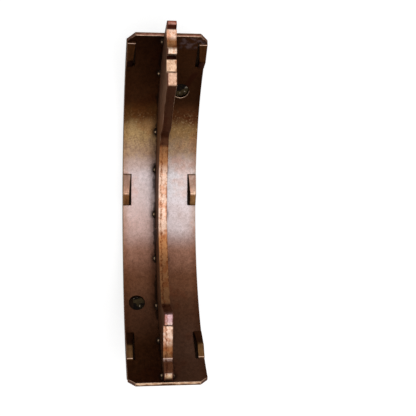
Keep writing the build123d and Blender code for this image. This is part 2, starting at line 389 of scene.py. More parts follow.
def new_material(name, metallic, gloss=0.5):
    """A material with its Principled shader, whose steel reflects a little brown at its edges."""
    material = bpy.data.materials.new(name)
    material.use_nodes = True
    tree = material.node_tree
    shader = tree.nodes["Principled BSDF"]
    shader.inputs["Metallic"].default_value = metallic
    shader.inputs["Specular IOR Level"].default_value = gloss
    if metallic:
        shader.inputs["Specular Tint"].default_value = (0.72, 0.50, 0.38, 1.0)
    return material, tree, shader


def satin(tree, shader, colour, pattern, smooth, rough, low=0.0, high=1.0):
    """Gives the shader its colour, and a roughness that follows a pattern from low to high."""
    tree.links.new(colour, shader.inputs["Base Color"])
    tree.links.new(span(tree, pattern, low, high, smooth, rough), shader.inputs["Roughness"])


def relief(tree, shader, height, distance, strength):
    """Bump from a height that feeds the shader's normal."""
    made = tree.nodes.new("ShaderNodeBump")
    made.inputs["Distance"].default_value = distance
    made.inputs["Strength"].default_value = strength
    tree.links.new(height, made.inputs["Height"])
    tree.links.new(made.outputs["Normal"], shader.inputs["Normal"])


def shades(colour, factor):
    """A colour made darker or lighter."""
    return tuple(part * factor for part in colour)


def between(first, second, share):
    """A colour part of the way from one to another."""
    return tuple(a + (b - a) * share for a, b in zip(first, second))


def multiplied(tree, colour, tint):
    """A colour multiplied by another."""
    return blend(tree, 1.0, colour, tint, "MULTIPLY")


def tinted(tree, factor, colour, tint):
    """A colour multiplied by a tint where the factor is 1."""
    return blend(tree, factor, colour, multiplied(tree, colour, tint))


def part_tinted(tree, mask, share, colour, tint):
    """A colour tinted by a share of a mask from 0 to 1."""
    return tinted(tree, span(tree, mask, 0.0, 1.0, 0.0, share), colour, tint)


def mottled(tree, tone, colour, dark, light):
    """A colour multiplied by a dark tint where the tone is 0 and by a light one where it is 1."""
    return blend(tree, tone, multiplied(tree, colour, dark), multiplied(tree, colour, light))


def arc(tree, where, low, high, soft):
    """A mask that is 1 between two angles, in degrees, and fades out beyond them."""
    return within(tree, where["Along"], along(low), along(high), soft / (2 * HALF_SWEEP))


def reach(tree, where, low, high, soft):
    """A mask that is 1 between two lengths along the chord, in mm, and fades out beyond them."""
    return within(tree, where["Chord"], chord(low), chord(high), soft / (2 * HALF_LENGTH))


def outwards(tree, where):
    """How far a point lies from the middle of the shoe's width, in mm."""
    return maths(tree, "ABSOLUTE", where["Across"])


def beside_web(tree, where):
    """How far a point lies beside the web, in mm."""
    return minus(tree, outwards(tree, where), WEB_HALF / MM)


# --- finishes


def brown_coat(finish):
    """Satin brown coat of the table, with light and shade painted into it: a pale painted
    highlight at the middle, a golden painted reflection beside it, painted shade deep at the ends.
    """
    material, tree, shader = new_material("brown coat on steel", 0.85, gloss=0.2)
    where = shoe_place(tree)
    grain = coat_grain(tree, finish.grain_size)
    spot = own_spot(tree)
    sparks = noise(tree, spot, SPARKS, 2.0, 0.6)
    golden = arc(tree, where, 20.0, 29.0, 6.0)
    colour = table_colours(tree, where, spot, sparks, golden, finish)
    at_sides = span(tree, outwards(tree, where), 15.5, 19.6, 0.0, 0.75)
    colour = tinted(tree, at_sides, colour, (0.72, 0.6, 0.5))
    on_nib = span(tree, where["Height"], 0.05, 0.3)
    colour = blend(tree, on_nib, colour, nib_paint(tree, where, spot, finish))
    colour = mottled(tree, grain["Tone"], colour, (0.72, 0.68, 0.65), (1.30, 1.29, 1.28))
    colour = part_tinted(tree, grain["Cloud"], 0.4, colour, (0.74, 0.64, 0.58))
    colour = part_tinted(tree, stains(tree, 6.0, 0.42), 0.35, colour, (0.95, 0.55, 0.38))
    colour = speckled(tree, sparks, golden, colour)
    colour = painted_web_shadow(tree, where, colour)
    colour = smeared(tree, where, colour)
    colour = scuffed(tree, where, spot, colour)
    colour = scorched_seam(tree, where, spot, colour)
    satin(tree, shader, colour, grain["Tone"], 0.40, 0.52)
    relief(tree, shader, grain["Relief"], 0.00009, 0.9)
    return material


def table_colours(tree, where, spot, sparks, golden, finish):
    """The coat's colour along the table, left and right of the web, ragged in its golden part:
    painted light and shade, with a painted highlight at the middle, a golden painted reflection
    beside it, painted shade towards the ends, and each side of the web lit in its own way.
    """
    coat, thin_and_reflected = finish.coat_colour, finish.thin_coat_and_reflection_colour
    pale, cool = finish.pale_coat_and_highlight_colour, finish.cool_sky_reflection_colour
    deep = finish.deep_coat_and_shade_colour
    degree = 1.0 / (2 * HALF_SWEEP)
    ragged = plus(
        tree,
        span(tree, sparks, 0.3, 0.7, -0.7 * degree, 0.7 * degree),
        span(tree, noise(tree, spot, DRIFTS, 3.0, 0.6), 0.3, 0.7, -degree, degree),
    )
    place_along = plus(tree, where["Along"], times(tree, ragged, golden))
    # left of the web: painted highlight at the middle, painted reflection in the golden part,
    # painted shade towards the ends
    left_stops = (
        (-64, shades(deep, 0.75)),
        (-50, deep),
        (-34, shades(coat, 0.66)),
        (-24, shades(coat, 1.25)),
        (-15, between(shades(coat, 2.0), pale, 0.09)),
        (-7, between(shades(coat, 3.0), pale, 0.55)),
        (6, pale),
        (11, pale),
        (15, (0.400, 0.298, 0.266)),
        (19, (0.340, 0.228, 0.150)),
        (26, shades(thin_and_reflected, 1.12)),
        (32, (0.092, 0.038, 0.010)),
        (38, shades(deep, 1.1)),
        (52, shades(deep, 0.8)),
        (64, shades(deep, 0.6)),
    )
    left = ramp_along(tree, place_along, left_stops)
    # right of the web: the same painted light, with a painted cool sky reflection at the middle
    right_stops = (
        (-64, (0.054, 0.024, 0.014)),
        (-46, (0.070, 0.033, 0.020)),
        (-34, shades(coat, 0.56)),
        (-24, shades(coat, 1.05)),
        (-15, between(shades(coat, 1.8), pale, 0.08)),
        (-5, shades(pale, 0.96)),
        (0, shades(pale, 0.94)),
        (6, shades(cool, 0.98)),
        (11, cool),
        (15, (0.430, 0.350, 0.330)),
        (19, (0.285, 0.200, 0.135)),
        (26, (0.235, 0.137, 0.055)),
        (31, shades(deep, 2.0)),
        (38, shades(deep, 0.7)),
        (64, shades(deep, 1.1)),
    )
    right = ramp_along(tree, place_along, right_stops)
    return blend(tree, span(tree, where["Across"], -3.0, 3.0), right, left)


def nib_paint(tree, where, spot, finish):
    """Colours over the three nibs, painted light and shade: lit steep flanks, painted highlights
    on the crests, bright outer ends, and the nibs left of the web painted darker.
    """
    deep, golden = finish.deep_coat_and_shade_colour, finish.lit_flank_colour
    lit = (0.062, 0.022, 0.006)
    anchor, middle, piston = NIBS
    anchor_crest, middle_crest, piston_crest = (nib + NIB_CREST for nib in NIBS)
    # painted light: lit and shaded flanks and a crest highlight on each nib, brightest on the
    # middle nib, which lies in the light
    painted_light_stops = (
        (anchor - NIB_HALF, shades(golden, 0.5)),
        (anchor_crest - 0.3, shades(golden, 0.42)),
        (anchor_crest + 1.2, shades(deep, 0.5)),
        (anchor + NIB_HALF, shades(deep, 0.8)),
        (middle - NIB_HALF, shades(golden, 0.25)),
        (middle - NIB_HALF + 0.7, shades(golden, 0.7)),
        (middle_crest - 0.6, shades(golden, 0.95)),
        (middle_crest + 0.1, (0.92, 0.70, 0.55)),
        (middle_crest + 1.0, (0.58, 0.41, 0.33)),
        (middle_crest + 3.0, (0.38, 0.27, 0.22)),
        (middle + NIB_HALF - 0.5, (0.42, 0.32, 0.28)),
        (middle + NIB_HALF, shades(golden, 0.3)),
        (piston - NIB_HALF, shades(deep, 0.3)),
        (piston_crest - 0.3, shades(deep, 0.3)),
        (piston_crest + 0.8, lit),
        (piston + NIB_HALF, shades(lit, 0.9)),
    )
    colour = ramp_along(tree, where["Along"], painted_light_stops)
    lines = noise(tree, spot, RUBBED, 2.0, 0.6, (0.15, 1.0, 0.15))
    colour = tinted(tree, span(tree, lines, 0.38, 0.62, 0.0, 0.55), colour, (0.62, 0.54, 0.46))
    for low, high in (
        (anchor - NIB_HALF + 0.08, anchor - NIB_HALF + 0.18),
        (piston + NIB_HALF - 0.22, piston + NIB_HALF - 0.10),
    ):
        colour = blend(tree, arc(tree, where, low, high, 0.05), colour, finish.bare_colour)
    # painted shade: the nibs left of the web darker
    return tinted(tree, span(tree, where["Across"], -1.0, 1.0), colour, (0.8, 0.8, 0.8))


def speckled(tree, sparks, golden, colour):
    """Dull and bright specks in the golden part of the coat."""
    dull = times(tree, golden, span(tree, sparks, 0.30, 0.5, 0.4, 0.0))
    bright = times(tree, golden, span(tree, sparks, 0.52, 0.74, 0.0, 0.34))
    return blend(tree, bright, tinted(tree, dull, colour, (0.45, 0.36, 0.30)), (0.56, 0.38, 0.20))


def painted_web_shadow(tree, where, colour):
    """Painted shadow of the web: a darker strip of coat close beside the web, on its left."""
    strip = span(tree, beside_web(tree, where), 1.0, 4.6, 0.62, 0.0)
    left = span(tree, where["Across"], -0.5, 0.5)
    web_shadow = times(tree, strip, times(tree, left, arc(tree, where, -33.0, 29.0, 4.0)))
    return tinted(tree, web_shadow, colour, (0.35, 0.31, 0.29))


def smeared(tree, where, colour):
    """A dark smear that runs aslant past the piston side's hole."""
    slant = 0.75  # mm across for each degree along
    drift = plus(tree, where["Across"], times(tree, where["Along"], slant * 2 * HALF_SWEEP))
    middle = PISTON_ACROSS - 1.5 + slant * (PISTON_ANGLE + HALF_SWEEP)
    smear = times(
        tree,
        within(tree, drift, middle - 1.1, middle + 1.1, 1.0),
        arc(tree, where, PISTON_ANGLE + 1.5, PISTON_ANGLE + 6.5, 1.5),
    )
    return blend(tree, times(tree, smear, 0.8), colour, (0.020, 0.004, 0.0015))


def scuffed(tree, where, spot, colour):
    """A patchy grey scuff at the piston end, right of the web, that spares the nib."""
    scuff = times(
        tree,
        arc(tree, where, 59.5, 63.0, 1.6),
        within(tree, where["Across"], -19.0, -7.5, 2.5),
    )
    scuff = times(tree, scuff, span(tree, where["Height"], 0.3, 0.6, 1.0, 0.0))
    patches = span(tree, noise(tree, spot, SCUFFS, 3.0, 0.6), 0.42, 0.62, 0.0, 0.8)
    return blend(tree, times(tree, scuff, patches), colour, (0.10, 0.068, 0.070))


def scorched_seam(tree, where, spot, colour):
    """The ragged dark seam at the web's foot, with the scorch of its welds."""
    ragged = span(tree, noise(tree, spot, RAGGED, 3.0, 0.6), 0.32, 0.68, -0.5, 0.5)
    lumpy = span(tree, noise(tree, spot, LUMPY, 1.0, 0.5), 0.44, 0.56, -0.6, 0.5)
    edge = plus(tree, beside_web(tree, where), plus(tree, ragged, lumpy))
    seam = span(tree, edge, -0.2, 1.3, 0.88, 0.0)
    return blend(tree, most(tree, seam, weld_heat(tree)), colour, (0.010, 0.005, 0.003))


def pierced_wall(finish):
    """Wall of a slit or a hole: almost black with scale, the darkness painted shade inside the
    slit or hole.
    """
    material, tree, shader = new_material("pierced wall", 0.6, gloss=0.2)
    grain = coat_grain(tree, finish.grain_size)
    deep = finish.deep_coat_and_shade_colour
    colour = blend(tree, grain["Tone"], shades(deep, 0.25), shades(deep, 0.8))
    satin(tree, shader, colour, grain["Tone"], 0.5, 0.7)
    relief(tree, shader, grain["Relief"], 0.00008, 0.8)
    return material


def web_coat(finish):
    """The same coat on the web's sides: greyer, scratched, darker towards the welded root, with
    painted shade along its middle and painted light towards the piston end.
    """
    material, tree, shader = new_material("grey brown coat on web", 0.6, gloss=0.2)
    where = shoe_place(tree)
    grain = coat_grain(tree, finish.grain_size * 1.2)
    coat = finish.web_colour
    grey = (0.2, 0.15, 0.13)
    # painted light and shade along the web: darker in the middle, lighter towards the piston end
    painted_light_stops = (
        (-60, shades(coat, 0.95)),
        (-25, shades(coat, 0.85)),
        (-10, shades(coat, 0.55)),
        (5, shades(coat, 0.8)),
        (30, coat),
        (42, between(shades(coat, 1.5), grey, 0.12)),
        (64, between(shades(coat, 1.3), grey, 0.1)),
    )
    colour = ramp_along(tree, where["Along"], painted_light_stops)
    colour = mottled(tree, grain["Tone"], colour, (0.7, 0.7, 0.7), (1.5, 1.5, 1.5))
    colour = part_tinted(tree, grain["Cloud"], 0.6, colour, (0.66, 0.6, 0.56))
    colour = part_tinted(tree, stains(tree, 5.0, 0.45), 0.6, colour, (0.95, 0.62, 0.45))
    lines = noise(tree, own_spot(tree), SCRATCHES, 2.0, 0.5, (0.04, 1.0, 0.7))
    colour = blend(tree, span(tree, lines, 0.70, 0.78, 0.0, 0.16), colour, finish.worn_colour)
    root = span(tree, where["Height"], 0.3, 4.0, 0.9, 0.0)
    colour = blend(tree, most(tree, root, weld_heat(tree)), colour, (0.012, 0.006, 0.004))
    satin(tree, shader, colour, grain["Tone"], 0.42, 0.55)
    relief(tree, shader, grain["Relief"], 0.00005, 0.6)
    return material


def table_arris(finish):
    """Corners of the table: brown along its sides, rubbed bright at its ends and piston hole."""
    material, tree, shader = new_material("table corner", 0.75, gloss=0.3)
    where = shoe_place(tree)
    tone = coat_grain(tree, finish.grain_size * 1.6)["Tone"]
    worn = finish.worn_colour
    brown = shades(finish.coat_colour, 0.8)
    tan = between(finish.coat_colour, finish.thin_coat_and_reflection_colour, 0.7)
    sides_stops = (
        (-63.2, between(brown, worn, 0.7)),
        (-62.0, brown),
        (-30, brown),
        (-12, tan),
        (20, tan),
        (30, brown),
        (62.2, brown),
        (63.2, between(brown, worn, 0.3)),
    )
    sides = ramp_along(tree, where["Along"], sides_stops)
    inside = span(tree, outwards(tree, where), 15.0, 16.0, 1.0, 0.0)
    colour = blend(tree, inside, sides, worn)
    colour = part_tinted(tree, tone, 0.6, colour, (0.5, 0.42, 0.36))
    satin(tree, shader, colour, tone, 0.3, 0.45)
    return material


def web_arris(finish):
    """Corners of the web's coated neck and ends: the coat, rubbed a little thinner."""
    material, tree, shader = new_material("web corner", 0.6, gloss=0.2)
    tone = coat_grain(tree, finish.grain_size * 1.6)["Tone"]
    rubbed = span(tree, stains(tree, 2.0, 0.55), 0.0, 1.0, 0.0, 0.25)
    colour = blend(tree, rubbed, shades(finish.web_colour, 1.2), finish.worn_colour)
    colour = part_tinted(tree, tone, 0.6, colour, (0.5, 0.42, 0.36))
    satin(tree, shader, colour, tone, 0.35, 0.5)
    return material


def sheared_steel(finish):
    """Bare sheared edge of the web: bright on the pads, scorched towards the anchor end."""
    material, tree, shader = new_material("sheared web edge", 0.7, gloss=0.25)
    where = shoe_place(tree)
    tone = coat_grain(tree, finish.grain_size * 0.9)["Tone"]
    spot = own_spot(tree)
    colour = edge_colours(tree, where, finish)
    colour = part_tinted(tree, stains(tree, 1.3, 0.5), 0.6, colour, (0.75, 0.42, 0.24))
    pits = span(tree, noise(tree, spot, PITS, 2.0, 0.5), 0.60, 0.68, 0.0, 0.5)
    colour = tinted(tree, pits, colour, (0.36, 0.2, 0.13))
    colour = part_tinted(tree, tone, 0.4, colour, (0.6, 0.5, 0.42))
    bends = span(tree, noise(tree, spot, TEAR_BENDS, 2.0, 0.6), 0.35, 0.65, -0.4, 0.4)
    lie = plus(tree, where["Across"], bends)
    dots = span(tree, noise(tree, spot, SHEAR_LINES, 2.0, 0.5), 0.42, 0.58, 0.35, 1.0)
    fading = span(tree, where["Chord"], chord(20.0), chord(50.0), 1.0, 0.35)
    tear = times(tree, within(tree, lie, 0.8, 1.2, 0.45), times(tree, dots, fading))
    colour = tinted(tree, tear, colour, (0.48, 0.32, 0.23))
    colour = tinted(tree, span(tree, lie, -2.3, -1.6, 0.8, 0.0), colour, (0.42, 0.28, 0.20))
    satin(tree, shader, shear_rims_and_shade(tree, where, colour), tone, 0.36, 0.5)
    lines = noise(tree, spot, SHEAR_LINES, 2.0, 0.5, (1.0, 0.12, 0.12))
    relief(tree, shader, lines, 0.00012, 0.8)
    return material


def edge_colours(tree, where, finish):
    """Colours along the web's edge, from the anchor end's tip to the piston end's."""
    bare, scorched = finish.bare_colour, finish.scorched_colour
    dark = (0.050, 0.018, 0.008)
    # painted shade in the notch and in the hollow below the piston end's tip
    notch_shade = (0.055, 0.010, 0.004)
    brown = (0.26, 0.115, 0.045)
    rosy = (0.58, 0.37, 0.39)
    glint = (1.0, 0.78, 0.62)
    belly = shades(bare, 0.92)
    anchor_side_stops = (
        (-83.5, dark),
        (-82.7, (0.66, 0.42, 0.24)),
        (-81.8, (0.90, 0.66, 0.45)),
        (-81.0, shades(bare, 0.95)),
        (-80.2, shades(dark, 1.9)),
        (-75.2, shades(dark, 2.3)),
        (-74.5, (0.95, 0.72, 0.64)),
        (-73.8, shades(scorched, 0.38)),
        (-69.1, shades(scorched, 0.75)),
        (-64.6, shades(bare, 0.68)),
        (-57.8, shades(bare, 0.9)),
        (-57.2, shades(dark, 0.4)),
        (-56.6, (0.74, 0.54, 0.50)),
        (-54.5, rosy),
        (-51.4, shades(rosy, 1.05)),
        (-51.1, shades(dark, 1.4)),
        (-48.6, shades(dark, 1.4)),
        (-47.2, shades(scorched, 0.45)),
        (-30.0, shades(scorched, 0.68)),
        (-16.0, shades(scorched, 1.5)),
        (-9.0, belly),
    )
    anchor_side = ramp_chord(tree, where, anchor_side_stops)
    piston_side_stops = (
        (18.0, belly),
        (25.0, shades(scorched, 1.1)),
        (31.5, shades(scorched, 0.8)),
        (33.5, shades(dark, 1.6)),
        (45.0, shades(dark, 1.3)),
        (58.7, shades(dark, 1.2)),
        (59.6, (0.66, 0.42, 0.30)),
        (64.9, (0.68, 0.44, 0.32)),
        (65.2, dark),
        (65.6, (0.71, 0.48, 0.33)),
        (71.4, (0.71, 0.48, 0.33)),
        (71.7, shades(notch_shade, 0.6)),
        (73.5, shades(notch_shade, 0.6)),
        (73.8, glint),
        (76.2, glint),
        (76.6, shades(brown, 0.6)),
        (80.2, shades(brown, 1.45)),
        (82.4, shades(bare, 1.1)),
        (85.6, shades(bare, 1.1)),
        (86.0, notch_shade),
        (87.6, notch_shade),
        (88.2, (0.66, 0.34, 0.27)),
        (88.9, (0.50, 0.19, 0.14)),
        (89.6, (0.24, 0.07, 0.04)),
    )
    piston_side = ramp_chord(tree, where, piston_side_stops)
    to_piston = span(tree, where["Chord"], chord(4.0), chord(8.0))
    return blend(tree, to_piston, anchor_side, piston_side)


def shear_rims_and_shade(tree, where, colour):
    """The dark rims that the shear leaves beside the narrow steps and on both tips; the rims on
    the left alone, at the piston end, are painted shade.
    """
    left = span(tree, where["Across"], 1.45, 2.1)
    right = span(tree, where["Across"], -2.1, -1.45, 1.0, 0.0)
    anchor_tip, high_pad = (-84.6, -80.4), (-56.9, -51.1)
    for rim, (low, high) in (
        (left, anchor_tip),
        (right, anchor_tip),
        (left, high_pad),
        (right, high_pad),
        # painted shade: the dark rims on the left of the piston end's steps and tip
        (left, (58.6, 64.9)),
        (left, (73.8, 76.4)),
        (left, (86.5, 90.0)),
    ):
        step = reach(tree, where, low, high, 0.2)
        colour = blend(tree, times(tree, rim, step), colour, (0.085, 0.022, 0.012))
    return colour


def cut_end(finish):
    """Cropped end of the table: bright burnished band inside, torn darker band outside."""
    material, tree, shader = new_material("cropped table end", 0.7, gloss=0.25)
    where = shoe_place(tree)
    grain = coat_grain(tree, finish.grain_size)
    spot = own_spot(tree)
    bends = span(tree, noise(tree, spot, CROP_BENDS, 2.0, 0.5), 0.3, 0.7, -0.35, 0.35)
    burnished = span(tree, plus(tree, where["Height"], bends), -1.08, -0.78)
    to_piston = span(tree, where["Along"], along(-10), along(10))
    fresh = blend(tree, to_piston, (0.80, 0.55, 0.37), (0.36, 0.165, 0.12))
    patchy = span(tree, noise(tree, spot, RAGGED, 3.0, 0.6), 0.35, 0.65, 0.0, 0.8)
    bright = tinted(tree, patchy, fresh, (0.55, 0.40, 0.30))
    banded = blend(tree, burnished, (0.10, 0.042, 0.02), bright)
    chamfer = span(tree, outwards(tree, where), 16.0, 16.6)
    colour = blend(tree, chamfer, banded, (0.085, 0.042, 0.032))
    satin(tree, shader, colour, grain["Tone"], 0.35, 0.5)
    relief(tree, shader, grain["Relief"], 0.00008, 0.8)
    return material


def friction_material(finish):
    """Moulded friction lining: brown grey binder with pale and dark flecks."""
    material, tree, shader = new_material("friction lining", 0.0, gloss=0.3)
    spot = own_spot(tree)
    base = finish.lining_colour
    fine = noise(tree, spot, FLECKS, 3.0, 0.65)
    coarse = noise(tree, spot, CLUMPS, 3.0, 0.6)
    mixed = blend(tree, span(tree, coarse, 0.35, 0.65), shades(base, 0.72), shades(base, 1.28))
    flecked = blend(tree, span(tree, fine, 0.64, 0.72), mixed, (0.30, 0.23, 0.16))
    pits = span(tree, fine, 0.30, 0.38, 1.0, 0.0)
    pitted = blend(tree, pits, flecked, (0.015, 0.013, 0.012))
    satin(tree, shader, pitted, fine, 0.75, 0.95, 0.3, 0.7)
    relief(tree, shader, plus(tree, fine, times(tree, coarse, 0.5)), 0.00025, 0.9)
    return material


def bonding_face():
    """Inner face of the lining: black adhesive with olive smears and crumbs under the holes, and
    painted shade under the slits.
    """
    material, tree, shader = new_material("bonding adhesive", 0.0, gloss=0.1)
    where = shoe_place(tree)
    spot = own_spot(tree)
    fine = noise(tree, spot, GLUE, 3.0, 0.6)
    coarse = noise(tree, spot, SMEARS, 2.0, 0.5)
    black, olive, pale = (0.006, 0.003, 0.002), (0.090, 0.062, 0.028), (0.55, 0.47, 0.37)
    # painted shade seen through the slits
    slit_shade = (0.030, 0.014, 0.007)
    smears = blend(tree, span(tree, coarse, 0.44, 0.62), black, olive)
    lumps = noise(tree, spot, CRUMBS, 2.0, 0.5)
    crumbs = blend(tree, span(tree, lumps, 0.64, 0.68), smears, pale)
    under_holes = span(tree, outwards(tree, where), 14.8, 15.3, 1.0, 0.0)
    colour = blend(tree, under_holes, slit_shade, crumbs)
    satin(tree, shader, colour, coarse, 0.7, 0.9, 0.3, 0.7)
    relief(tree, shader, plus(tree, fine, coarse), 0.0004, 0.8)
    return material


def weld_steel(finish):
    """Weld nugget, scorched dark, with a painted glint in its dimple."""
    material, tree, shader = new_material("weld nugget", 0.7, gloss=0.2)
    tone = coat_grain(tree, finish.grain_size)["Tone"]
    crown = tree.nodes.new("ShaderNodeAttribute")
    crown.attribute_name = "crown"
    dimple = span(tree, crown.outputs["Fac"], 0.35, 0.75)
    # painted glint: the bright dimple
    colour = blend(tree, dimple, (0.016, 0.009, 0.006), finish.nugget_glint_colour)
    colour = part_tinted(tree, tone, 0.6, colour, (0.5, 0.45, 0.4))
    satin(tree, shader, colour, tone, 0.3, 0.5)
    return material


# --- shapes


def stood(name, data):
    """An object made of its data and linked to the scene."""
    made = bpy.data.objects.new(name, data)
    bpy.context.scene.collection.objects.link(made)
    return made


def softened(node, name, width, materials, sort_face, sort_corner):
    """A copy of a solid with its sharp corners rounded off, which stands for the solid."""
    source = bpy.data.objects[node]
    mesh = bpy.data.meshes.new(name)
    shape = bmesh.new()
    shape.from_mesh(source.data)
    bmesh.ops.remove_doubles(shape, verts=shape.verts, dist=MERGED)
    bmesh.ops.dissolve_limit(shape, angle_limit=FLAT, verts=shape.verts, edges=shape.edges)
    for face in shape.faces:
        face.material_index = sort_face(face)
    corners = [
        edge
        for edge in shape.edges
        if edge.is_manifold and edge.is_convex and edge.calc_face_angle(0) > SHARP
    ]
    new_face = len(materials)  # marks the rounded corners until they are sorted
    bmesh.ops.bevel(
        shape,
        geom=corners,
        offset=width,
        offset_type="OFFSET",
        segments=2,
        profile=0.5,
        affect="EDGES",
        clamp_overlap=False,
        material=new_face,
    )
    for face in shape.faces:
        face.smooth = True
        if face.material_index == new_face:
            face.material_index = sort_corner(face)
    bmesh.ops.triangulate(shape, faces=shape.faces)
    shape.to_mesh(mesh)
    shape.free()
    piece = stood(name, mesh)
    for material in materials:
        mesh.materials.append(material)
    mesh.set_sharp_from_angle(angle=CREASE)
    even = piece.modifiers.new("even shading", "WEIGHTED_NORMAL")
    even.keep_sharp = True
    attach(piece, "root")
    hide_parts(node)
    return piece


def from_axis(face):
    """The middle of a face from the drum axis."""
    return face.calc_center_median() - Vector((AXIS_X, 0, AXIS_Z))


def table_angle(face):
    """Where a face of the table lies along the shoe, in degrees."""
    spot = from_axis(face)
    return degrees(atan2(spot.x, -spot.z)) + LEAN


def sort_table_face(face):
    """0 for the coated table, 1 for its cropped ends and their chamfers, 2 for pierced walls."""
    spot = face.calc_center_median()
    radial = Vector((spot.x - AXIS_X, 0, spot.z - AXIS_Z)).normalized()
    if abs(face.normal.dot(radial)) > 0.2:
        return 0
    if any((spot - hole).length < HOLE_REACH for hole in (PISTON_HOLE, ANCHOR_HOLE)):
        return 2
    if abs(face.normal.y) > 0.9:
        return 0 if abs(spot.y) > SIDE_WALL else 2
    return 1 if abs(table_angle(face)) > END_WALL else 0


def sort_table_corner(face):
    """3 for corners that get rubbed, on the sides, the ends and the piston hole, otherwise 0."""
    spot = face.calc_center_median()
    if abs(spot.y) > SIDE_CORNER or abs(table_angle(face)) > END_CORNER:
        return 3
    return 3 if (spot - PISTON_HOLE).length < HOLE_REACH and spot.x < PISTON_HOLE.x else 0


def sort_web_face(face):
    """1 for the sheared edge that faces up, 0 for the coated sides and the rest."""
    return 1 if abs(face.normal.y) < 0.7 and unlean(face.normal).z > 0.05 else 0


def sort_web_corner(face):
    """1 for corners of the bare edge, 2 for corners of the coated neck and of the rest."""
    on_neck = NECK[0] < unlean(from_axis(face)).x / MM < NECK[1]
    return 2 if on_neck or unlean(face.normal).z < 0.05 else 1


def sort_lining_face(face):
    """1 for the inner face, which carries the adhesive, 0 for the rest."""
    return 1 if face.normal.z > 0.3 and abs(face.normal.y) < 0.1 else 0


def sort_lining_corner(face):
    """0, as all corners of the lining are friction material."""
    return 0


def lump(form, crown, angle, side, seed, finish):
    """One weld nugget, sunk half in web and table, with a dimple in its open side."""
    turned = radians(angle - LEAN)
    axes = (
        Vector((cos(turned), 0, sin(turned))),
        Vector((0, side, 0)),
        Vector((-sin(turned), 0, cos(turned))),
    )
    centre = shoe_point(TABLE_INNER, angle, side * WEB_HALF)
    made = bmesh.ops.create_icosphere(form, subdivisions=4, radius=1.0)
    for vert in made["verts"]:
        way = vert.co.normalized()
        open_side = way.dot(OPEN_WAY)
        dimple = exp(-((1 - open_side) / DIMPLE_WIDTH) ** 2)
        rough = fractal(way * LUMP_SCALE + Vector((seed, 0, 0)), 1.0, 2.0, 3)
        swell = 1 + LUMP_HEIGHT * rough - DIMPLE_DEPTH * dimple
        vert[crown] = dimple
        local = [way[i] * swell * finish.nugget_size[i] for i in range(3)]
        vert.co = centre + sum((axis * length for axis, length in zip(axes, local)), Vector())


# --- settings


def colour_setting(name, description, default):
    """A colour that can be set in the panel."""
    return FloatVectorProperty(
        name=name, description=description, subtype="COLOR", default=default
    )


def size_setting(name, description, default, unit="LENGTH"):
    """A length, a power or a plain number that can be set in the panel."""
    return FloatProperty(name=name, description=description, default=default, unit=unit)


class BrakeShoeFinish(bpy.types.PropertyGroup):
    """Colours and small sizes of the finish."""

    coat_colour: colour_setting("Coat", "Brown coat on the table", (0.12, 0.05, 0.026))
    # painted reflection: the golden band beside the middle of the table, partly thin coat
    thin_coat_and_reflection_colour: colour_setting(
        "Thin coat", "Golden tone where the coat is thin", (0.33, 0.22, 0.10)
    )
    # painted highlight: the pale middle of the table, partly thin coat
    pale_coat_and_highlight_colour: colour_setting(
        "Pale coat", "Pinkish grey tone at the middle of the table", (0.52, 0.45, 0.46)
    )
    # painted reflection of a cool sky in the middle of the table, right of the web
    cool_sky_reflection_colour: colour_setting(
        "Cool coat",
        "Cool grey tone at the middle of the table, right of the web",
        (0.57, 0.555, 0.59),
    )
    # the dark coat, painted darker as shade at the table's ends, in slit and hole walls and on the
    # nibs' shaded flanks
    deep_coat_and_shade_colour: colour_setting(
        "Deep coat", "Dark brown coat towards the ends of the table", (0.036, 0.012, 0.004)
    )
    web_colour: colour_setting("Web coat", "Coat on the web's sides", (0.082, 0.036, 0.017))
    worn_colour: colour_setting(
        "Rubbed steel", "Bright steel on rubbed corners", (0.62, 0.42, 0.30)
    )
    bare_colour: colour_setting(
        "Bare steel", "Sheared steel of the web's pads and edge", (0.78, 0.55, 0.43)
    )
    scorched_colour: colour_setting(
        "Scorched steel", "Orange brown of heated bare steel", (0.34, 0.15, 0.06)
    )
    # painted light: the lit steep flanks of the nibs
    lit_flank_colour: colour_setting(
        "Burnished coat", "Golden brown on the steep flanks of the nibs", (0.30, 0.155, 0.062)
    )
    # painted glint: the bright dimple of a weld nugget
    nugget_glint_colour: colour_setting(
        "Nugget", "Bright steel in the dimple of a weld nugget", (0.42, 0.30, 0.19)
    )
    nugget_size: FloatVectorProperty(
        name="Nugget size",
        description="Half lengths of a weld nugget along, across and above the table",
        unit="LENGTH",
        default=(2.3 * MM, 1.5 * MM, 1.3 * MM),
    )
    lining_colour: colour_setting("Lining", "Friction material", (0.105, 0.071, 0.050))
    grain_size: FloatProperty(
        name="Grain size",
        description="Size of the coat's grain, 1 is as made",
        default=1.0,
        min=0.2,
        max=5.0,
    )
    corner_radius: size_setting("Corner", "Rounding of the steel's corners", 0.22 * MM)
    lining_corner: size_setting("Lining corner", "Rounding of the lining's corners", 0.3 * MM)


class BrakeShoeStage(bpy.types.PropertyGroup):
    """Floor and light."""

    floor_colour: colour_setting("Floor", "Pale floor", (0.9, 0.9, 0.9))
    floor_size: size_setting("Floor size", "Side of the floor", 6.0)
    overhead_power: size_setting("Overhead", "Softbox above the shoe", 1.95, "POWER")
    near_power: size_setting("Near", "Small softbox right above the shoe", 1.1, "POWER")
    side_power: size_setting("Side", "Softbox beside the shoe", 1.6, "POWER")
    sky_strength: size_setting("Sky", "Even light from all round", 0.22, "NONE")


# --- operators


class BRAKESHOE_OT_dress_table(bpy.types.Operator):
    """Softens the table's corners and coats it"""

    bl_idname = "brakeshoe.dress_table"
    bl_label = "Dress the Table"

    def execute(self, context):
        finish = context.scene.brake_shoe_finish
        softened(
            "shoe_table",
            "table_pressing",
            finish.corner_radius,
            (brown_coat(finish), cut_end(finish), pierced_wall(finish), table_arris(finish)),
            sort_table_face,
            sort_table_corner,
        )
        return {"FINISHED"}


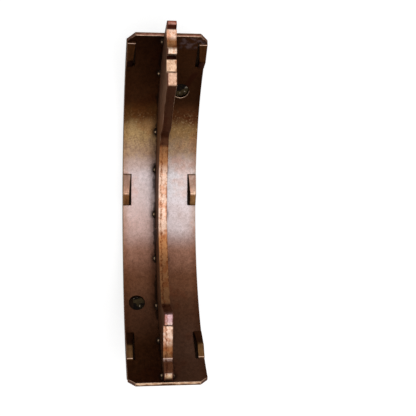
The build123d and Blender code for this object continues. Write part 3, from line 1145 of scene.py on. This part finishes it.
class BRAKESHOE_OT_dress_web(bpy.types.Operator):
    """Softens the web's corners, coats its sides and leaves its sheared edge bare"""

    bl_idname = "brakeshoe.dress_web"
    bl_label = "Dress the Web"

    def execute(self, context):
        finish = context.scene.brake_shoe_finish
        softened(
            "shoe_web",
            "web_plate",
            finish.corner_radius,
            (web_coat(finish), sheared_steel(finish), web_arris(finish)),
            sort_web_face,
            sort_web_corner,
        )
        return {"FINISHED"}


class BRAKESHOE_OT_dress_lining(bpy.types.Operator):
    """Rounds the lining's corners and gives it its moulded texture"""

    bl_idname = "brakeshoe.dress_lining"
    bl_label = "Dress the Lining"

    def execute(self, context):
        finish = context.scene.brake_shoe_finish
        softened(
            "friction_lining",
            "lining_pad",
            finish.lining_corner,
            (friction_material(finish), bonding_face()),
            sort_lining_face,
            sort_lining_corner,
        )
        return {"FINISHED"}


class BRAKESHOE_OT_dress_welds(bpy.types.Operator):
    """Forms the weld nuggets: lumps in the corner of web and table, each with a dimple"""

    bl_idname = "brakeshoe.dress_welds"
    bl_label = "Dress the Welds"

    def execute(self, context):
        finish = context.scene.brake_shoe_finish
        form = bmesh.new()
        crown = form.verts.layers.float.new("crown")
        for number, angle in enumerate(WELDS):
            for side in (1, -1):
                lump(form, crown, angle, side, number + 20 * side, finish)
        mesh = bpy.data.meshes.new("weld_nuggets")
        form.to_mesh(mesh)
        form.free()
        mesh.shade_smooth()
        mesh.materials.append(weld_steel(finish))
        piece = stood("weld_nuggets", mesh)
        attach(piece, "root")
        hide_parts("projection_welds")
        return {"FINISHED"}


class BRAKESHOE_OT_set_stage(bpy.types.Operator):
    """Lays the floor and sets the lights and the camera"""

    bl_idname = "brakeshoe.set_stage"
    bl_label = "Set the Stage"

    def execute(self, context):
        stage = context.scene.brake_shoe_stage
        lay_floor(stage)
        for name, power, size, spot, aim in SOFTBOXES:
            hang_softbox(name, getattr(stage, power), size, spot, aim)
        light_sky(stage)
        place_camera()
        context.scene.view_settings.view_transform = "Standard"
        return {"FINISHED"}


# --- stage


def seen_ray(tree):
    """1 for what the camera, or a reflection, sees of the background."""
    rays = tree.nodes.new("ShaderNodeLightPath").outputs
    mirrored = most(tree, rays["Is Glossy Ray"], rays["Is Transmission Ray"])
    return most(tree, rays["Is Camera Ray"], mirrored)


def lay_floor(stage):
    """A pale floor that looks white, the more so the further off, and keeps the shadow."""
    half = stage.floor_size / 2
    corners = [(-half, -half, 0), (half, -half, 0), (half, half, 0), (-half, half, 0)]
    mesh = bpy.data.meshes.new("floor")
    mesh.from_pydata(corners, [], [(0, 1, 2, 3)])
    floor = stood("floor", mesh)
    material, tree, shader = new_material("pale floor", 0.0, gloss=0.0)
    shader.inputs["Base Color"].default_value = (*stage.floor_colour, 1.0)
    shader.inputs["Roughness"].default_value = 0.9
    away = tree.nodes.new("ShaderNodeVectorMath")
    away.operation = "LENGTH"
    tree.links.new(own_spot(tree), away.inputs[0])
    strength = span(tree, away.outputs["Value"], *FLOOR_NEAR_FAR, *FLOOR_GLOW)
    glow = tree.nodes.new("ShaderNodeEmission")
    tree.links.new(times(tree, seen_ray(tree), strength), glow.inputs["Strength"])
    both = tree.nodes.new("ShaderNodeAddShader")
    tree.links.new(shader.outputs[0], both.inputs[0])
    tree.links.new(glow.outputs[0], both.inputs[1])
    tree.links.new(both.outputs[0], tree.nodes["Material Output"].inputs["Surface"])
    mesh.materials.append(material)


def hang_softbox(name, power, size, spot, aim):
    """A rectangular lamp that faces the point it aims at."""
    data = bpy.data.lights.new(name, "AREA")
    data.shape = "RECTANGLE"
    data.size, data.size_y = size
    data.energy = power
    lamp = stood(name, data)
    lamp.location = spot
    lamp.rotation_euler = (Vector(aim) - Vector(spot)).to_track_quat("-Z", "Y").to_euler()


def light_sky(stage):
    """Even light from all round, which the camera and reflections see as white."""
    world = bpy.data.worlds.new("studio")
    bpy.context.scene.world = world
    world.use_nodes = True
    tree = world.node_tree
    tree.nodes.clear()
    sky = tree.nodes.new("ShaderNodeBackground")
    sky.inputs["Strength"].default_value = stage.sky_strength
    white = tree.nodes.new("ShaderNodeBackground")
    white.inputs["Color"].default_value = (1.0, 1.0, 1.0, 1.0)
    either = tree.nodes.new("ShaderNodeMixShader")
    tree.links.new(seen_ray(tree), either.inputs[0])
    tree.links.new(sky.outputs[0], either.inputs[1])
    tree.links.new(white.outputs[0], either.inputs[2])
    tree.links.new(either.outputs[0], tree.nodes.new("ShaderNodeOutputWorld").inputs[0])


def place_camera():
    """The camera, above the shoe and a little to its side."""
    data = bpy.data.cameras.new("camera")
    data.sensor_width = CAMERA_SENSOR
    data.lens = CAMERA_LENS
    data.clip_start = 0.01
    camera = stood("camera", data)
    camera.location = CAMERA_PLACE
    camera.rotation_euler = [radians(a) for a in CAMERA_TURN]
    bpy.context.scene.camera = camera


# --- add-on


STEPS = (
    BRAKESHOE_OT_dress_table,
    BRAKESHOE_OT_dress_web,
    BRAKESHOE_OT_dress_lining,
    BRAKESHOE_OT_dress_welds,
    BRAKESHOE_OT_set_stage,
)


class BRAKESHOE_PT_panel(bpy.types.Panel):
    """Steps and settings of the shoe"""

    bl_idname = "BRAKESHOE_PT_panel"
    bl_label = "Brake Shoe"
    bl_space_type = "VIEW_3D"
    bl_region_type = "UI"
    bl_category = "Brake Shoe"

    def draw(self, context):
        for step in STEPS:
            self.layout.operator(step.bl_idname)
        for settings in (context.scene.brake_shoe_finish, context.scene.brake_shoe_stage):
            box = self.layout.box()
            for name in settings.bl_rna.properties.keys():
                if name not in ("rna_type", "name"):
                    box.prop(settings, name)


CLASSES = (BrakeShoeFinish, BrakeShoeStage, *STEPS, BRAKESHOE_PT_panel)


def register():
    """Registers the classes and hangs the settings on the scene."""
    for cls in CLASSES:
        bpy.utils.register_class(cls)
    bpy.types.Scene.brake_shoe_finish = PointerProperty(type=BrakeShoeFinish)
    bpy.types.Scene.brake_shoe_stage = PointerProperty(type=BrakeShoeStage)


def unregister():
    """Takes the settings and the classes away again."""
    del bpy.types.Scene.brake_shoe_stage
    del bpy.types.Scene.brake_shoe_finish
    for cls in reversed(CLASSES):
        bpy.utils.unregister_class(cls)


def main():
    """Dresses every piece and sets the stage."""
    register()
    bpy.ops.brakeshoe.dress_table()
    bpy.ops.brakeshoe.dress_web()
    bpy.ops.brakeshoe.dress_lining()
    bpy.ops.brakeshoe.dress_welds()
    bpy.ops.brakeshoe.set_stage()


if __name__ == "__main__":
    main()
